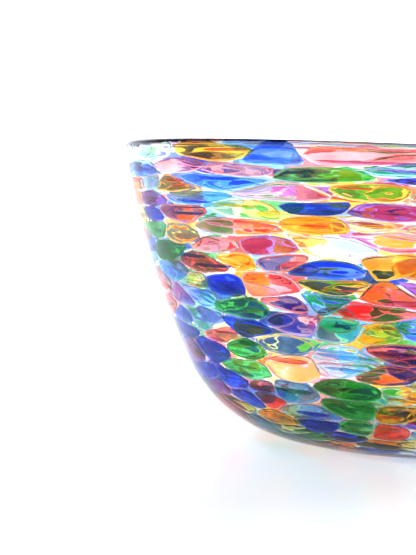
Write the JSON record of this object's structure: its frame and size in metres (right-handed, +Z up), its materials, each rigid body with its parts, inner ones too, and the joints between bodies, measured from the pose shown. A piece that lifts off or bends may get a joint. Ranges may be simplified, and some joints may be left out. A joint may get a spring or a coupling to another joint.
{
  "type": "art glass bowl",
  "caption": "Round mouth-blown glass bowl with flaring wall, flat base, and one layer of transparent coloured glass chips fused in clear glass.",
  "frame": {"origin": "centre of the flat base, on the surface that the bowl stands on", "axes": "+Z up, along the bowl's axis; -Y is the side that faces the front"},
  "size_m": [0.24, 0.24, 0.117],
  "materials": {
    "clear_glass": "clear, fire polished",
    "cobalt_glass": "transparent coloured glass chip, fused",
    "azure_glass": "transparent coloured glass chip, fused",
    "aqua_glass": "transparent coloured glass chip, fused",
    "teal_glass": "transparent coloured glass chip, fused",
    "emerald_glass": "transparent coloured glass chip, fused",
    "lime_glass": "transparent coloured glass chip, fused",
    "yellow_glass": "transparent coloured glass chip, fused",
    "amber_glass": "transparent coloured glass chip, fused",
    "coral_glass": "transparent coloured glass chip, fused",
    "ruby_glass": "transparent coloured glass chip, fused",
    "violet_glass": "transparent coloured glass chip, fused",
    "rose_glass": "transparent coloured glass chip, fused",
    "crystal_glass": "transparent coloured glass chip, fused"
  },
  "bodies": {
    "root": {"clear_gather": "clear_glass", "clear_casing": "clear_glass", "rim_chips_cobalt": "cobalt_glass", "rim_chips_azure": "azure_glass", "rim_chips_aqua": "aqua_glass", "rim_chips_teal": "teal_glass", "rim_chips_emerald": "emerald_glass", "rim_chips_lime": "lime_glass", "rim_chips_yellow": "yellow_glass", "rim_chips_amber": "amber_glass", "rim_chips_coral": "coral_glass", "rim_chips_ruby": "ruby_glass", "rim_chips_violet": "violet_glass", "rim_chips_rose": "rose_glass", "rim_chips_crystal": "crystal_glass", "wall_chips_cobalt": "cobalt_glass", "wall_chips_azure": "azure_glass", "wall_chips_aqua": "aqua_glass", "wall_chips_teal": "teal_glass", "wall_chips_emerald": "emerald_glass", "wall_chips_lime": "lime_glass", "wall_chips_yellow": "yellow_glass", "wall_chips_amber": "amber_glass", "wall_chips_coral": "coral_glass", "wall_chips_ruby": "ruby_glass", "wall_chips_violet": "violet_glass", "wall_chips_rose": "rose_glass", "wall_chips_crystal": "crystal_glass", "base_chips_cobalt": "cobalt_glass", "base_chips_azure": "azure_glass", "base_chips_aqua": "aqua_glass", "base_chips_teal": "teal_glass", "base_chips_emerald": "emerald_glass", "base_chips_lime": "lime_glass", "base_chips_yellow": "yellow_glass", "base_chips_amber": "amber_glass", "base_chips_coral": "coral_glass", "base_chips_ruby": "ruby_glass", "base_chips_violet": "violet_glass", "base_chips_rose": "rose_glass", "base_chips_crystal": "crystal_glass"}
  },
  "joints": []
}
